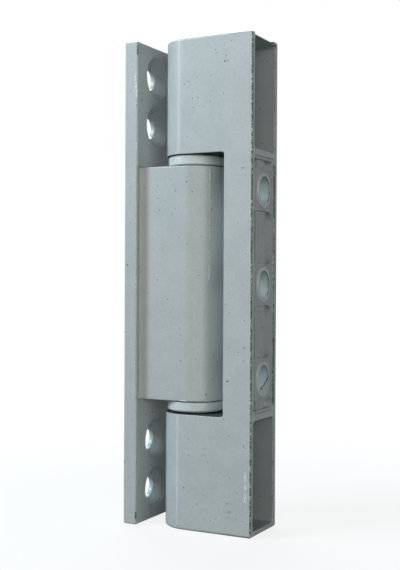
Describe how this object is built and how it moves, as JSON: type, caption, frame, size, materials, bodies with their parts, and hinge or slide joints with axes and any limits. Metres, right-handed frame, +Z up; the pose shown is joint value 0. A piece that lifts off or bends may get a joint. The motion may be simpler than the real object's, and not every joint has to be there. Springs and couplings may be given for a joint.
{
  "type": "pvc door hinge",
  "caption": "Surface-fixed door hinge: a plate with countersunk holes and a long knuckle turns on a pin inside a deep box-like leaf with an open, ribbed fixing side.",
  "frame": {"origin": "on the pin's axis, at the sash leaf's bottom end face", "axes": "+Z up along the pin; +X out of the sash leaf's fixing side; the picture's front faces -Y"},
  "size_m": [0.0342, 0.02, 0.1202],
  "materials": {
    "powder_coat": "semi-gloss light grey powder coat on die-cast metal",
    "bush_plastic": "smooth pale grey bearing plastic",
    "pin_steel": "plain ground steel, lightly greased",
    "dark_steel": "blackened steel",
    "plug_plastic": "moulded grey plastic"
  },
  "bodies": {
    "frame": {"frame_leaf": "powder_coat", "upper_bush": "bush_plastic", "lower_bush": "bush_plastic"},
    "sash": {"sash_leaf": "powder_coat", "hinge_pin": "pin_steel", "thrust_washer": "pin_steel", "upper_grub_screw": "dark_steel", "lower_grub_screw": "dark_steel", "top_plug": "plug_plastic", "bottom_plug": "plug_plastic"}
  },
  "joints": [
    {"name": "leaf_swing", "type": "hinge", "parent": "frame", "child": "sash", "pos_m": [0, 0, 0.06], "axis": [0, 0, 1], "range_deg": [-108, 108]}
  ]
}
